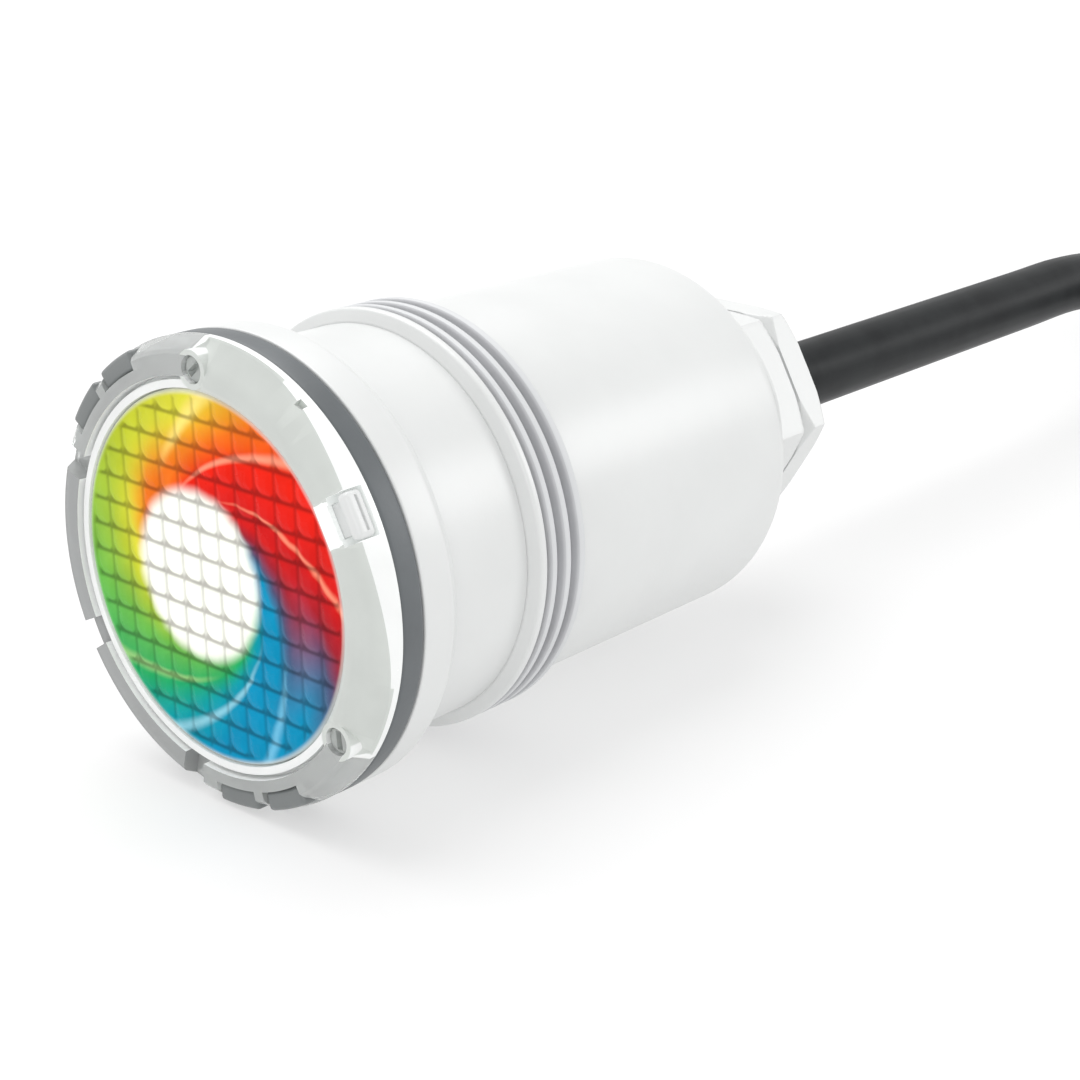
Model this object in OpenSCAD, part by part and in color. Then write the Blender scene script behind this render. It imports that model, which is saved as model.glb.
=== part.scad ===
// Submersible pool light for a 50 mm wall conduit.
// Frame: the lamp's axis lies along Y, its lens faces -Y and its cable leaves towards +Y.
// Z is up. The origin is on the axis, at the flange's rear face, which seats on the conduit's end.

/* [Lens and cap] */
// Radius of the coloured lens that shows inside the clear cap
lens_r = 19; // [18.6:0.1:19]
// Outer radius of the front face of the clear cap's castellated rim
rim_r = 22.6; // [22.4:0.1:22.8]
// Distance from the flange's rear face to the lens's front
lens_front = 10.5; // [10:0.1:11]
// Clock angle of the cap's latch, from +X towards +Z
latch_clock = 29; // [0:1:60]

/* [Housing] */
// Outer radius of the flange and its gasket
flange_r = 24; // [23.8:0.1:26]
// Thickness of the flange
flange_t = 5; // [4:0.1:5.4]
// Outer radius of the neck and the rear barrel
barrel_r = 21.3; // [21.1:0.1:21.6]
// Radius over the seal fins
fin_r = 22.8; // [22.4:0.1:23.2]
// Distance from the flange's rear face to the housing's rear face
barrel_end = 57.5; // [56:0.5:62]
// Wall thickness of the housing
wall = 2.2; // [2:0.1:2.4]

/* [Cable gland] */
// Distance across the flats of the gland's hexagons
gland_af = 25.3; // [24.5:0.1:26.5]
// Height of the gland body's hexagon along the axis
gland_hex_h = 7.7; // [6:0.1:9]
// Radius of the gland's thread
thread_r = 9.6; // [9:0.1:9.9]

/* [Cable] */
// Diameter of the two-core rubber cable
cable_d = 9; // [8.6:0.1:9]

/* [Hidden] */
$fn = 96;

// Small working clearance between nested pieces, and the margin by which a cutter overshoots
fit = 0.02;
over = 1;
cable_r = cable_d / 2;
sides_both = [-1, 1];

// Front end, from the lens back to the flange
cap_front = -lens_front - 0.5;
gasket_t = 3;
gasket_front = -flange_t - gasket_t;
lip_t = 0.9;
lip_front = gasket_front - lip_t;
rim_in_r = 20.4;
rim_floor = lip_front - 0.2;
gasket_in_r = 22.6;
boss_r = 1.8;
boss_circle_r = 21.2;
boss_clock = 62;
notch_clocks = [129, 180, 231];
notch_w = 8;
window_clocks = [93.5, 112, 248, 266.5];
window_w = 15;
step_in_r = lens_r + 0.15;
step_out_r = 20;
lens_edge_r = 19.9;
lens_edge_t = 1.5;
lens_back = gasket_front + fit + lens_edge_t;
screw_head_r = 1.3;
screw_shank_r = 0.75;
latch_w = 4.6;
latch_in_r = 22.5;
latch_back = gasket_front - 0.7;
tongue_w = 3.2;
tongue_in_r = 20.3;
latch_travel = 1;
bridge_w = 4.2;
bridge_t = 0.55;

// Housing, from the flange to the rear plug
bore_r = barrel_r - wall;
collar_bore_r = 17.6;
neck_end = 12.05;
neck_fillet = 1.2;
spigot_end = 20;
band_end = 13.2;
fin_pitch = 2.1;
fin_w = 1.3;
fin_root_r = 20.6;
fin_gap = fin_pitch - fin_w;
rear_round = 2.4;
boss_out_r = 16.3;
boss_end = barrel_end + 6.1;
plug_front = barrel_end - 5.5;
plug_seat = barrel_end - 2.5;

// Light engine and driver, from front to back
board_r = 16.8;
board_y = 3;
board_t = 1.6;
pad_t = 0.5;
sink_y = board_y + board_t + pad_t;
sink_base_t = 3;
sink_fin_h = 9;
driver_y = sink_y + sink_base_t + sink_fin_h + 4;
driver_t = 1.6;
driver_back = driver_y + driver_t;
standoff_circle_r = 13.6;
emitter_size = 2.8;
emitter_h = 0.9;
emitter_rings = [[0, 1], [6, 6], [12, 12]]; // radius and number of emitters
board_hole_r = 15;
lead_clock = 25;
lead_hole_r = 0.9;
sink_fin_pitch = 3.4;
sink_fin_reach = 11;
parts_y = driver_back + fit;
block_z = 8.2;
block_h = 6;
block_w = 10;
core_z = block_z + block_h / 2;
core_x = 2.5;
potting_y = plug_front - 8;
potting_end = plug_front - 4.2;
strip_y = plug_front - 3;

// Gland, from the rear plug to the cable's exit
hex_start = boss_end + fit;
hex_end = hex_start + gland_hex_h;
nut_start = hex_end + 0.5;
nut_hex_end = nut_start + 3.9;
nut_end = nut_start + 9.1;
neck_top = nut_start + 5;
washer_t = 1;
thread_clearance = 0.05;
cable_hole_r = cable_r + 0.3;

// Cable route: the exit, a straight run, and a drop to the floor that also swings sideways to the hank
floor_z = -flange_r;
lie_z = floor_z + cable_r;
route = [
    [0, nut_end, 0],
    [0, 100, 0],
    [0, 125, 0],
    [0, 150, 0],
    [0, 165, 0],
    [0, 178, -1.4],
    [0, 190, -4.2],
    [-0.7, 200, -9],
    [-3.4, 210, -14.2],
    [-9, 221, -18.2],
    [-14.9, 233, lie_z],
    [-17.3, 242, lie_z],
    [-18, 251, lie_z]
];

// Hank: oval turns of the cable on the floor, in line with the lamp, with its free end on top
hank_x = 18;
hank_near_y = 251;
run_len = 76;
hank_far_y = hank_near_y + run_len;
fold_r = 3 * cable_d;
block_turns = [[0, 0], [1, 0], [0, 1], [1, 1], [1, 2]]; // column and level of each turn but the last
hank_top = floor_z + 3 * cable_d;
tail_z = hank_top - cable_r;
tail_end_y = hank_near_y + 0.44 * run_len;
tie_y = hank_near_y + 0.62 * run_len;
tie_w = 4.8;
tie_t = 1.2;
route_sides = 12;
route_step = 2 * cable_d;
core_r = 1.7;
core_wire_r = 1.3;
core_gap = 2.1;
core_bare_len = 24;
ferrule_r = 1.25;
ferrule_len = 10;

// Turns a shape's own Z axis onto the lamp's Y axis
module along_y() {
    rotate([-90, 0, 0]) children();
}

// Solid of revolution about the lamp's axis: points are [radius, y]
module turned(profile) {
    along_y() rotate_extrude() polygon(profile);
}

// Plain ring about the lamp's axis
module ring(r_in, r_out, y0, y1) {
    turned([[r_in, y0], [r_out, y0], [r_out, y1], [r_in, y1]]);
}

// Places children at a clock angle round the lamp's axis, from +X towards +Z
module at_clock(angle) {
    rotate([0, -angle, 0]) children();
}

// Cylinder that runs along the lamp's axis
module rod(r, y0, y1) {
    translate([0, y0, 0]) along_y() cylinder(r = r, h = y1 - y0);
}

// Sector of a ring, centred on a clock angle
module sector(clock, width, r_in, r_out, y0, y1) {
    along_y() rotate([0, 0, -clock - width / 2]) rotate_extrude(angle = width)
        polygon([[r_in, y0], [r_out, y0], [r_out, y1], [r_in, y1]]);
}

// Hexagonal prism about the lamp's axis, with one flat towards a clock angle
module hex_bar(af, clock, y0, y1) {
    at_clock(clock + 30) translate([0, y0, 0]) along_y()
        cylinder(r = af / sqrt(3), h = y1 - y0, $fn = 6);
}

// Hexagonal prism whose corners are chamfered at both ends
module chamfered_hex(af, clock, y0, y1, chamfer) {
    corner_r = af / sqrt(3);
    intersection() {
        hex_bar(af, clock, y0, y1);
        turned([[0, y0], [corner_r - 2 * chamfer, y0], [corner_r, y0 + chamfer],
            [corner_r, y1 - chamfer], [corner_r - 2 * chamfer, y1], [0, y1]]);
    }
}

// ---- Cap and lens ----

// Clear cap: a lip on the gasket, an inner step round the lens and a castellated outer rim
module front_cap() {
    color([0.86, 0.89, 0.88, 0.45]) union() {
        cap_body();
        tongue_bridge();
    }
}

// Bridge of the cap over the channel of the latch's tongue
module tongue_bridge() {
    in_r = step_in_r + 0.2;
    at_clock(latch_clock) translate([in_r, cap_front, -bridge_w / 2])
        cube([latch_in_r - latch_travel - 0.3 - in_r, bridge_t, bridge_w]);
}

// The cap without its bridge: turned outline and bosses, less notches, windows, screw holes and latch pocket
module cap_body() {
    bevel = 0.7;
    difference() {
        union() {
            turned([[step_in_r, gasket_front], [flange_r, gasket_front], [flange_r, lip_front],
                [rim_r + bevel, cap_front + bevel], [rim_r, cap_front], [rim_in_r, cap_front],
                [rim_in_r, lip_front], [step_out_r, lip_front], [step_out_r, cap_front + 0.5],
                [step_in_r, cap_front + 0.5]]);
            at_bosses() rod(boss_r, cap_front, gasket_front);
        }
        for (a = notch_clocks)
            sector(latch_clock + a, notch_w, rim_in_r - 0.1, flange_r + over, cap_front - over, rim_floor);
        for (a = window_clocks)
            sector(latch_clock + a, window_w, rim_in_r + 0.7, rim_r - 0.4, cap_front - over, rim_floor);
        at_bosses() {
            rod(screw_head_r + 0.1, cap_front - over, cap_front + 1.3);
            rod(screw_shank_r + 0.1, cap_front, gasket_front + over);
        }
        latch_pocket();
    }
}

// Places children at each of the cap's two screw bosses
module at_bosses() {
    for (side = sides_both)
        at_clock(latch_clock + side * boss_clock) translate([boss_circle_r, 0, 0]) children();
}

// Opening in the cap's rim for the latch, with a channel for its tongue
module latch_pocket() {
    gap = 0.15;
    in_r = latch_in_r - latch_travel - gap;
    at_clock(latch_clock) {
        translate([in_r, cap_front - over, -latch_w / 2 - gap])
            cube([flange_r, latch_back + gap - cap_front + over, latch_w + 2 * gap]);
        translate([tongue_in_r - latch_travel - gap, cap_front - over, -tongue_w / 2 - gap])
            cube([2 * latch_travel + over, lip_front + gap - cap_front + over, tongue_w + 2 * gap]);
    }
}

// Coloured lens: its disc fills the cap's opening, and the cap clamps its edge on the seal
module lens_disc() {
    color("orangered") turned([[0, -lens_front], [lens_r - 0.4, -lens_front], [lens_r, -lens_front + 0.4],
        [lens_r, gasket_front + fit], [lens_edge_r, gasket_front + fit], [lens_edge_r, lens_back],
        [0, lens_back]]);
}

// O-ring between the lens's edge and the collar
module lens_seal() {
    seal_r = (-flange_t - lens_back) / 2 - fit;
    color("dimgray") along_y() rotate_extrude()
        translate([lens_edge_r - seal_r - 0.1, -flange_t - fit - seal_r]) circle(r = seal_r);
}

// Push-in latch that holds the cap: a head with a finger slot across it, and a tongue towards the lens
module cap_latch() {
    front = cap_front + 0.1;
    slot_w = 0.4;
    color("white") at_clock(latch_clock) difference() {
        union() {
            translate([latch_in_r, front, -latch_w / 2])
                cube([flange_r - 0.1 - latch_in_r, latch_back - front, latch_w]);
            translate([tongue_in_r, front + 0.5, -tongue_w / 2])
                cube([latch_in_r + 0.5 - tongue_in_r, 0.8, tongue_w]);
        }
        translate([flange_r - 0.6, latch_back - 2 * slot_w, -latch_w / 2 + 0.7])
            cube([over, slot_w, latch_w - 1.4]);
    }
}

// Two cap screws with slotted heads, at the bottom of the cap's bosses
module cap_screws() {
    head_y = cap_front + 0.4;
    slot_w = 0.4;
    color("silver") at_bosses() difference() {
        union() {
            rod(screw_head_r, head_y, head_y + 0.9 - fit);
            rod(screw_shank_r, head_y + 0.5, -1);
        }
        translate([-screw_head_r, head_y - 0.1, -slot_w / 2]) cube([2 * screw_head_r, 0.5, slot_w]);
    }
}

// Soft gasket between the cap and the flange
module front_gasket() {
    color("dimgray") turned([[gasket_in_r, gasket_front + fit], [flange_r - 0.25, gasket_front + fit],
        [flange_r, gasket_front + 0.3], [flange_r, -flange_t - 0.3],
        [flange_r - 0.25, -flange_t - fit], [gasket_in_r, -flange_t - fit]]);
}

// ---- Housing ----

// Flange, neck and the spigot that is glued into the housing tube
module front_collar() {
    arc = [for (a = [0 : 15 : 90]) [barrel_r + neck_fillet * (1 - sin(a)), neck_fillet * (1 - cos(a))]];
    color("white") difference() {
        turned(concat(
            [[collar_bore_r, -flange_t], [flange_r - 0.2, -flange_t], [flange_r, -flange_t + 0.2],
                [flange_r, -0.5], [flange_r - 0.5, 0]],
            arc,
            [[barrel_r, neck_end - fit], [bore_r - fit, neck_end - fit], [bore_r - fit, spigot_end],
                [collar_bore_r, spigot_end]]));
        at_bosses() rod(screw_shank_r + fit, -flange_t - over, -0.8);
    }
}

// Tube of the housing: a band, three fin grooves and the plain rear barrel with a rounded end
module housing_tube() {
    arc = [for (a = [0 : 10 : 90])
        [barrel_r - rear_round + rear_round * cos(a), barrel_end - rear_round + rear_round * sin(a)]];
    color("white") difference() {
        turned(concat(
            [[bore_r, neck_end], [barrel_r + 0.1, neck_end], [fin_r, neck_end + 0.5],
                [fin_r, band_end - 0.2], [fin_r - 0.2, band_end], [barrel_r, band_end],
                [barrel_r, barrel_end - rear_round]],
            arc,
            [[boss_out_r + 0.1, barrel_end], [boss_out_r + 0.1, plug_seat], [bore_r, plug_seat]]));
        for (i = [0 : 2])
            ring(fin_root_r, fin_r + over, fin_y(i), fin_y(i) + fin_width(i));
    }
}

// Front face of one seal fin; the rearmost fin is a little wider than the others
function fin_y(i) = band_end + fin_gap + i * fin_pitch;
function fin_width(i) = i == 2 ? fin_w + 0.4 : fin_w;

// Three soft fins that wipe the conduit's bore
module seal_fins() {
    color("whitesmoke") for (i = [0 : 2]) {
        y0 = fin_y(i) + fit;
        y1 = fin_y(i) + fin_width(i) - fit;
        turned([[fin_root_r + fit, y0], [fin_r - 0.2, y0], [fin_r, y0 + 0.3],
            [fin_r, y1 - 0.3], [fin_r - 0.2, y1], [fin_root_r + fit, y1]]);
    }
}

// Plug that closes the housing's rear, with the boss that the gland screws into
module rear_plug() {
    color("white") difference() {
        turned([[thread_r + 0.1, plug_front], [bore_r - fit, plug_front], [bore_r - fit, plug_seat - fit],
            [boss_out_r, plug_seat - fit], [boss_out_r, boss_end - 0.6], [boss_out_r - 0.6, boss_end],
            [thread_r + 0.1, boss_end]]);
        ring(bore_r - 1.3, bore_r + over, plug_front + 0.8, plug_front + 2.2);
        along_y() rotate_extrude() translate([thread_r + 2, boss_end]) circle(r = 0.9);
    }
}

// O-ring in the rear plug's groove
module plug_seal() {
    color("dimgray") along_y() rotate_extrude()
        translate([bore_r - 0.65, plug_front + 1.5]) circle(r = 0.62);
}

// ---- Light engine ----

// Shallow white dish that throws the light forwards
module reflector() {
    back = board_y - emitter_h - 0.2;
    front = lens_back + 0.2;
    throat_r = 14.6;
    mouth_r = collar_bore_r - 1.1;
    shell = 0.8;
    color("white") turned([[throat_r, back], [throat_r + shell, back], [mouth_r + shell, front],
        [mouth_r, front]]);
}

// Holes through the light engine for its screws and for the two leads
module engine_holes(screw_r, y0, y1) {
    for (i = [0 : 2])
        at_clock(120 * i + 90) translate([board_hole_r, 0, 0]) rod(screw_r, y0, y1);
    lead_holes(y0, y1);
}

module lead_holes(y0, y1) {
    for (side = sides_both)
        at_clock(-90 + lead_clock * side) translate([board_hole_r, 0, 0]) rod(lead_hole_r, y0, y1);
}

// Aluminium-core board that carries the emitters
module led_board() {
    color("whitesmoke") difference() {
        rod(board_r, board_y, board_y + board_t);
        engine_holes(1.1, board_y - over, board_y + board_t + over);
    }
}

// Emitters in a centre and two rings
module led_emitters() {
    color("lightyellow") for (group = emitter_rings)
        for (i = [0 : group[1] - 1])
            at_clock(360 / group[1] * i + 15) translate([group[0], board_y - emitter_h - fit, 0])
                emitter();
}

// One emitter package with a round well in its face
module emitter() {
    half = emitter_size / 2;
    difference() {
        translate([-half, 0, -half]) cube([emitter_size, emitter_h, emitter_size]);
        rod(1.05, -over, 0.3);
    }
}

// Three screws that hold the board to the heat sink
module board_screws() {
    color("silver") for (i = [0 : 2])
        at_clock(120 * i + 90) translate([board_hole_r, 0, 0]) {
            rod(1.6, board_y - 1.1, board_y - fit);
            rod(0.95, board_y - 0.5, sink_y + 2.2);
        }
}

// Pad that carries the heat from the board to the sink
module thermal_pad() {
    color("slategray") difference() {
        rod(board_r - 0.4, board_y + board_t + fit, sink_y - fit);
        engine_holes(1.1, board_y, sink_y + over);
    }
}

// Aluminium sink: a base disc with parallel fins behind it
module heat_sink() {
    fin_t = 1.4;
    base_end = sink_y + sink_base_t;
    color("silver") difference() {
        union() {
            rod(board_r, sink_y, base_end);
            intersection() {
                for (i = [-3 : 3])
                    translate([i * sink_fin_pitch - fin_t / 2, sink_y, -board_r])
                        cube([fin_t, sink_base_t + sink_fin_h, 2 * board_r]);
                rod(sink_fin_reach, sink_y, base_end + sink_fin_h);
            }
        }
        for (i = [0 : 2])
            at_clock(120 * i + 90) translate([board_hole_r, 0, 0]) rod(0.97, sink_y - over, sink_y + 2.4);
        lead_holes(sink_y - over, base_end + over);
        at_standoffs() rod(1 + fit, sink_y + 0.8, base_end + over);
    }
}

// Places children at each of the three standoffs
module at_standoffs() {
    for (i = [0 : 2])
        at_clock(120 * i + 30) translate([standoff_circle_r, 0, 0]) children();
}

// Three pillars between the heat sink and the driver board
module standoffs() {
    y0 = sink_y + sink_base_t + fit;
    color("goldenrod") at_standoffs() {
        translate([0, y0, 0]) along_y() cylinder(r = 2.2, h = driver_y - fit - y0, $fn = 6);
        rod(1, sink_y + 1, y0 + over);
        rod(1, driver_y - over, driver_back + 1.6);
    }
}

// Round driver board
module driver_board() {
    color("seagreen") difference() {
        rod(bore_r - 1.4, driver_y, driver_back);
        at_standoffs() rod(1 + fit, driver_y - over, driver_back + over);
        lead_holes(driver_y - over, driver_back + over);
    }
}

// Wound ring inductor, lying flat on the driver board
module inductor() {
    wound_r = 1.5;
    color("peru") translate([-7.2, parts_y, 3.4]) along_y() rotate_extrude()
        translate([2 * wound_r, wound_r + 0.8]) union() {
            circle(r = wound_r);
            translate([-wound_r / 2, -wound_r - 0.8]) square([wound_r, wound_r]);
        }
}

// Two electrolytic capacitors, standing on the driver board
module capacitors() {
    can_r = 2.5;
    can_h = 9;
    color("midnightblue") for (x = [5.4, 10.9])
        translate([x, parts_y, 2.6]) along_y() rotate_extrude()
            polygon([[0, 0], [can_r, 0], [can_r, 1], [can_r - 0.2, 1.3], [can_r, 1.6], [can_r, can_h - 0.4],
                [can_r - 0.3, can_h], [0, can_h]]);
}

// Four rectifier diodes in a row
module rectifier_diodes() {
    color("black") for (i = [0 : 3])
        translate([-9 + i * 4.4, parts_y, -6.2]) cube([2.6, 1.8, 3.6]);
}

// Controller that fades the colours, with four legs along each side
module controller_chip() {
    chip = [5, 1.5, 4];
    corner = [-3, parts_y, -0.9];
    leg_l = 0.8;
    color("black") translate(corner) cube(chip);
    color("silver") for (z = [-leg_l, chip[2]])
        for (i = [0 : 3])
            translate(corner + [0.2 + i * 1.3, 0, z]) cube([0.5, 0.6, leg_l]);
}

// Two-way terminal block for the cable's cores
module terminal_block() {
    depth = 7;
    color("green") difference() {
        translate([-block_w / 2, parts_y, block_z]) cube([block_w, depth, block_h]);
        for (side = sides_both) {
            translate([side * core_x, 0, core_z]) rod(core_wire_r + 0.1, parts_y + 2, parts_y + depth + over);
            translate([side * core_x, parts_y + depth / 2, core_z + 1.2]) cylinder(r = 1.2, h = 3);
        }
    }
}

// One wire from the driver board to the light engine's board
module led_lead(side) {
    at_clock(-90 + lead_clock * side) translate([board_hole_r, 0, 0])
        rod(0.65, board_y - 0.6, driver_back + 0.8);
}

module led_lead_red() {
    color("red") led_lead(1);
}

module led_lead_black() {
    color("black") led_lead(-1);
}

module supply_core_brown() {
    color("saddlebrown") core_path(-1);
}

module supply_core_blue() {
    color("royalblue") core_path(1);
}

// One core: a straight run from the cable, a slope and a straight run into the block
module core_path(side) {
    r = core_wire_r;
    y_top = driver_back + 9;
    y_low = potting_y - 2;
    knuckle_r = r + 0.1;
    lean = atan2(core_z, y_low - y_top);
    translate([side * core_x, 0, 0]) {
        translate([0, 0, core_z]) rod(r, driver_back + 3, y_top);
        translate([0, y_top, core_z]) sphere(r = knuckle_r);
        translate([0, y_top, core_z]) rotate([-lean, 0, 0]) rod(r, 0, norm([core_z, y_low - y_top]));
        translate([0, y_low, 0]) sphere(r = knuckle_r);
        rod(r, y_low, strip_y);
    }
}

// Resin plug that blocks water creeping along the cable's cores
module potting_plug() {
    color("darkslategray") difference() {
        rod(bore_r - 0.1, potting_y, potting_end);
        for (side = sides_both)
            translate([side * core_x, 0, 0]) rod(core_wire_r + fit, potting_y - over, plug_front);
    }
}

// ---- Gland ----

// Nut that holds the gland body from inside the rear plug
module gland_locknut() {
    color("white") difference() {
        chamfered_hex(24, latch_clock, plug_front - 3.5, plug_front - fit, 0.6);
        rod(thread_r + thread_clearance, plug_front - 5, plug_front + over);
    }
}

// Gland body: a threaded stub, a hexagon and the threaded neck under the nut
module gland_body() {
    color("white") difference() {
        union() {
            rod(thread_r, plug_front - 3.8, hex_start + over);
            chamfered_hex(gland_af, latch_clock, hex_start, hex_end, 0.9);
            rod(thread_r, hex_end - over, neck_top);
        }
        rod(cable_r + 0.1, plug_front - 5, neck_top + over);
        rod(7, hex_start + 4, neck_top + over);
    }
}

// O-ring between the gland's hexagon and the rear plug
module gland_face_seal() {
    color("dimgray") along_y() rotate_extrude()
        intersection() {
            translate([thread_r + 2, boss_end]) circle(r = 0.86);
            translate([thread_r, boss_end - 2]) square([4, 2]);
        }
}

// Rubber grommet that grips the cable inside the neck
module gland_grommet() {
    color("dimgray") turned([[cable_r + fit, hex_start + 4 + fit], [7 - fit, hex_start + 4 + fit],
        [7 - fit, neck_top - 0.6], [6.2, neck_top], [cable_r + fit, neck_top]]);
}

// Slip washer between the grommet and the nut
module gland_washer() {
    color("lightgray") ring(cable_hole_r, thread_r - 0.4, neck_top + 0.1, neck_top + 0.1 + washer_t);
}

// Hexagonal nut with a domed end, screwed on the neck
module gland_nut() {
    inner_top = neck_top + 0.1 + washer_t + 0.05;
    color("white") difference() {
        union() {
            chamfered_hex(gland_af, latch_clock, nut_start, nut_hex_end, 0.9);
            turned([[0, nut_hex_end - over], [11.6, nut_hex_end - over], [11.6, nut_hex_end + 0.6],
                [10.9, nut_hex_end + 2.4], [9.4, nut_end - 1], [7.6, nut_end], [0, nut_end]]);
        }
        rod(thread_r + thread_clearance, nut_start - over, inner_top);
        rod(cable_hole_r, nut_start - over, nut_end + over);
    }
}

// ---- Cable ----

// Cable inside the gland, from its stripped end to the nut's mouth
module cable_entry() {
    color("darkslategray") difference() {
        rod(cable_r, potting_end + fit, nut_end);
        for (side = sides_both)
            translate([side * core_x, 0, 0]) rod(core_wire_r + fit, potting_end - over, strip_y + fit);
    }
}

// Point at distance s along a route, on a smooth curve through its points
function catmull(a, b, c, d, t) =
    0.5 * (2 * b + (c - a) * t + (2 * a - 5 * b + 4 * c - d) * t * t
        + (3 * b - a - 3 * c + d) * t * t * t);
function clamp(i, n) = max(0, min(n - 1, i));
function on_span(pts, i, t) =
    let (n = len(pts))
    catmull(pts[clamp(i - 1, n)], pts[i], pts[clamp(i + 1, n)], pts[clamp(i + 2, n)], t);
function span_parts(pts, i) = ceil(norm(pts[i + 1] - pts[i]) / route_step);
function smooth_route(pts) = concat(
    [for (i = [0 : len(pts) - 2])
        for (k = [0 : span_parts(pts, i) - 1])
            on_span(pts, i, k / span_parts(pts, i))],
    [pts[len(pts) - 1]]);

// Unit direction of a path at one of its points
function unit(v) = v / norm(v);
function heading(path, i) =
    let (n = len(path))
    i == 0 ? unit(path[1] - path[0])
    : i == n - 1 ? unit(path[n - 1] - path[n - 2])
    : unit(path[i + 1] - path[i - 1]);

// Ring of points round a path that never points straight up or down
function path_ring(path, i, r) =
    let (f = heading(path, i), side = unit(cross(f, [0, 0, 1])), up = cross(side, f))
    [for (k = [0 : route_sides - 1])
        path[i] + r * (cos(360 * k / route_sides) * side + sin(360 * k / route_sides) * up)];

// Tube swept along a path, closed at both ends
module swept_tube(path, r) {
    n = len(path);
    m = route_sides;
    points = [for (i = [0 : n - 1]) each path_ring(path, i, r)];
    sides = [for (i = [0 : n - 2]) for (k = [0 : m - 1])
        [i * m + k, i * m + (k + 1) % m, (i + 1) * m + (k + 1) % m, (i + 1) * m + k]];
    start = [for (k = [m - 1 : -1 : 0]) k];
    end = [for (k = [0 : m - 1]) (n - 1) * m + k];
    polyhedron(points, concat([start], sides, [end]));
}

// Cable from the nut to the hank
module power_cable() {
    color("darkslategray") swept_tube(smooth_route(route), cable_r);
}

// Extrudes a section, drawn as [x, z], along Y
module along_run(y0, y1) {
    translate([0, y1, 0]) rotate([90, 0, 0]) linear_extrude(y1 - y0) children();
}

// Places a shape on both straight sides of the hank; its x is the distance from the middle line
module on_both_runs() {
    translate([hank_x, 0, 0]) {
        children();
        mirror([1, 0, 0]) children();
    }
}

// Sweeps a section, drawn as [fold radius, z], round the hank's whole oval
module oval_sweep() {
    on_both_runs() along_run(hank_near_y, hank_far_y) children();
    translate([hank_x, hank_far_y, 0]) rotate_extrude(angle = 180) children();
    translate([hank_x, hank_near_y, 0]) rotate([0, 0, 180]) rotate_extrude(angle = 180) children();
}

// Centre of a turn in the hank's section, from its column and level
function turn_place(turn) = [fold_r, lie_z] + cable_d * turn;

// Section of the hank's turns, with a filling that joins them
module block_section() {
    g = 1.2;
    for (turn = block_turns) translate(turn_place(turn)) circle(r = cable_r);
    polygon([
        turn_place([0, 0]) + [-g, -g],
        turn_place([1, 0]) + [g, -g],
        turn_place([1, 2]) + [g, g],
        turn_place([1, 2]) + [-g, g],
        turn_place([0, 1]) + [-g, g]
    ]);
}

// Upright rectangle round one side of the hank, grown by a margin, from a height upwards
module bundle_box(grow, z0) {
    translate([fold_r - cable_r - grow, z0]) square([2 * cable_d + 2 * grow, hank_top + grow - z0]);
}

// Turns of the hank as one solid, with recesses for the ties where it lies on the floor
module cable_hank() {
    color("darkslategray") difference() {
        oval_sweep() block_section();
        on_both_runs() along_run(tie_y - tie_w / 2 - 0.1, tie_y + tie_w / 2 + 0.1)
            translate([fold_r - cable_d, floor_z - over]) square([3 * cable_d, over + tie_t + fit]);
    }
}

// Ties round both sides of the hank, with their heads on top
module cable_ties() {
    clear = 0.1;
    head = [6, 7, 4.5];
    color("black") on_both_runs() union() {
        along_run(tie_y - tie_w / 2, tie_y + tie_w / 2) difference() {
            bundle_box(tie_t + clear, floor_z);
            bundle_box(clear, floor_z + tie_t);
        }
        translate([fold_r, tie_y - head[1] / 2, hank_top + clear]) cube(head);
    }
}

// Last part of the cable, which lies in the hank's top inner place
module cable_tail() {
    color("darkslategray") translate([hank_x, 0, tail_z]) union() {
        translate([-fold_r, 0, 0]) rod(cable_r, tie_y, hank_far_y);
        translate([0, hank_far_y, 0]) rotate_extrude(angle = 180)
            translate([fold_r, 0]) circle(r = cable_r);
        translate([fold_r, 0, 0]) rod(cable_r, tail_end_y, hank_far_y);
    }
}

// Places children at the cable's stripped end, with +Y along the way the cores leave
module at_tail_end() {
    translate([hank_x + fold_r, tail_end_y, tail_z]) rotate([0, 0, 180]) children();
}

// Insulated core, standing out of the cable's end
module tail_core(side) {
    at_tail_end() translate([side * core_gap, fit, 0]) rod(core_r, 0, core_bare_len);
}

module core_brown() {
    color("saddlebrown") tail_core(-1);
}

module core_blue() {
    color("royalblue") tail_core(1);
}

// Crimped ferrules on the cores' ends
module core_ferrules() {
    color("silver") for (side = sides_both)
        at_tail_end() translate([side * core_gap, fit, 0])
            rod(ferrule_r, core_bare_len + fit, core_bare_len + ferrule_len);
}

front_cap();
lens_disc();
lens_seal();
cap_latch();
cap_screws();
front_gasket();
front_collar();
housing_tube();
seal_fins();
rear_plug();
plug_seal();
reflector();
led_board();
led_emitters();
board_screws();
thermal_pad();
heat_sink();
standoffs();
driver_board();
inductor();
capacitors();
rectifier_diodes();
controller_chip();
terminal_block();
led_lead_red();
led_lead_black();
supply_core_brown();
supply_core_blue();
potting_plug();
gland_locknut();
gland_body();
gland_face_seal();
gland_grommet();
gland_washer();
gland_nut();
cable_entry();
power_cable();
cable_hank();
cable_tail();
cable_ties();
core_brown();
core_blue();
core_ferrules();
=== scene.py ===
"""Looks of the underwater pool light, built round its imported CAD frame. Lengths are in metres."""

import math

import bmesh
import bpy
import numpy as np
from mathutils import Matrix, Vector


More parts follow.
